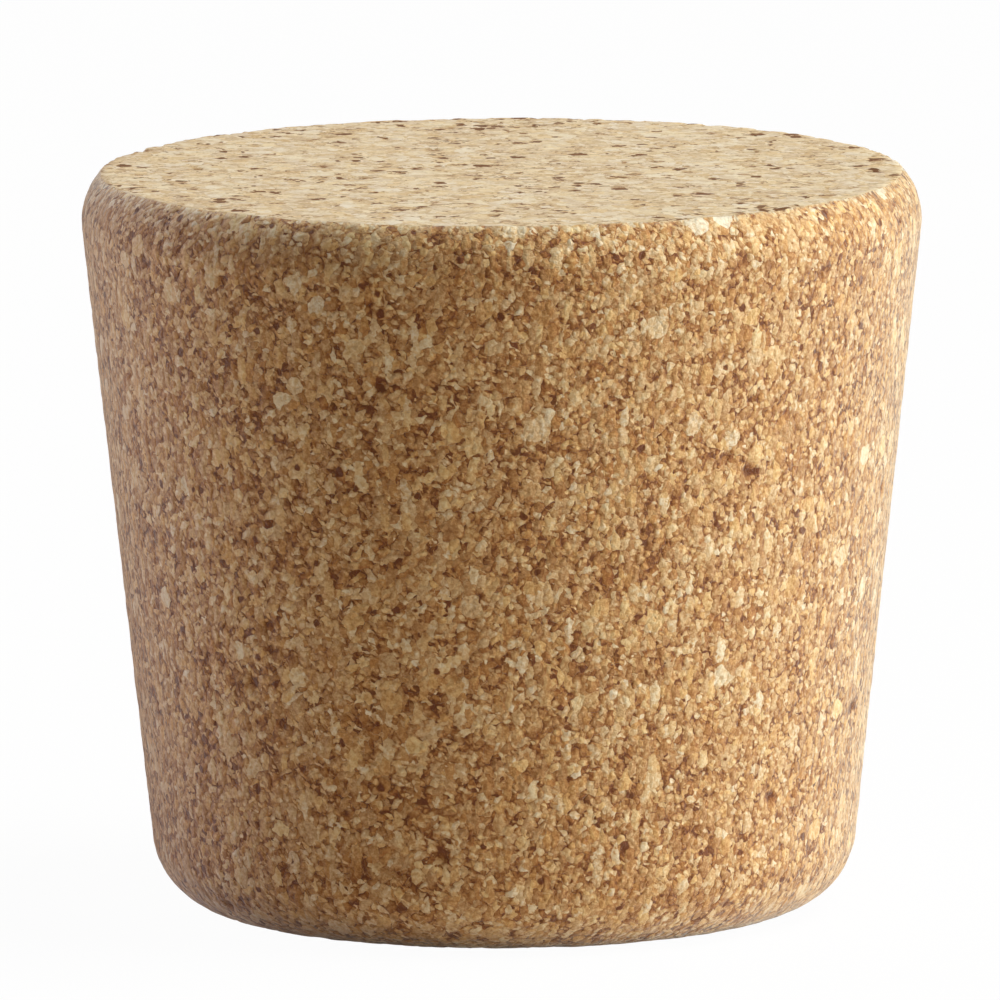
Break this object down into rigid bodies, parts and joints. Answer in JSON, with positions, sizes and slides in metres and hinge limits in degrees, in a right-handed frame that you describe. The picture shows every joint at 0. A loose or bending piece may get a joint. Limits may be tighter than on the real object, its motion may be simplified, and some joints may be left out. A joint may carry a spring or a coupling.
{
  "type": "cork stopper",
  "caption": "Tapered round stopper of fine agglomerated cork, with flat ends, a rounded foot and a crisp top edge, that plugs a wide round mouth.",
  "frame": {"origin": "centre of the bottom face, which is the narrow end", "axes": "+Z along the axis of revolution, from the narrow end to the wide end"},
  "size_m": [0.0592, 0.0592, 0.0522],
  "materials": {
    "cork": "matt turned agglomerated cork, with cut granules and small dark pores"
  },
  "bodies": {
    "root": {"stopper": "cork"}
  },
  "joints": []
}
